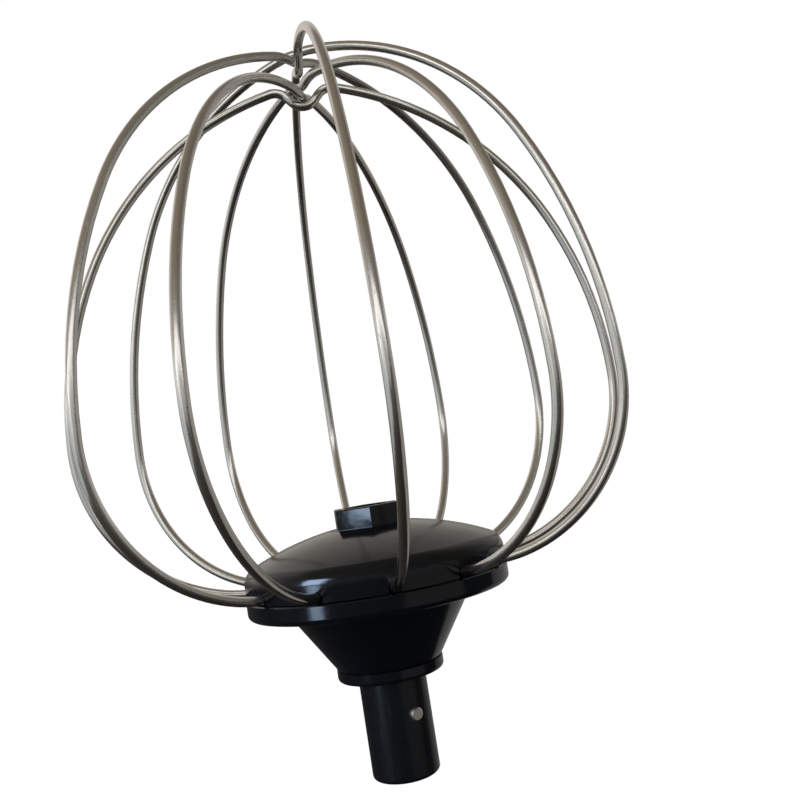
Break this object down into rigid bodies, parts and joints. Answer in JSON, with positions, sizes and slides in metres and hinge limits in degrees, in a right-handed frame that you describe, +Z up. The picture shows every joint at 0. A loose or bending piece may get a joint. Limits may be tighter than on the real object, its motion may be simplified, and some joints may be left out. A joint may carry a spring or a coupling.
{
  "type": "stand mixer wire whisk",
  "caption": "Balloon whisk attachment for a stand mixer: bent steel wire loops clamped in a domed black hub, on a round drive shank with a cross pin.",
  "frame": {"origin": "centre of the end face of the drive shank", "axes": "+Z up the whisk's axis from the shank to the crown of the wires, -Y towards the side shown"},
  "size_m": [0.1326, 0.1354, 0.1757],
  "materials": {
    "shank_black": "satin black moulding",
    "hub_black": "glossy black moulding",
    "nut_black": "glossy black, crisp edges",
    "wire_steel": "bright drawn stainless wire",
    "pin_steel": "ground steel pin"
  },
  "bodies": {
    "root": {"drive_shank": "shank_black", "drive_pin": "pin_steel", "hub_base": "hub_black", "hub_cover": "hub_black", "hub_nut": "nut_black", "wire_loop_1": "wire_steel", "wire_loop_2": "wire_steel", "wire_loop_3": "wire_steel", "wire_loop_4": "wire_steel", "wire_loop_5": "wire_steel", "wire_loop_6": "wire_steel"}
  },
  "joints": []
}
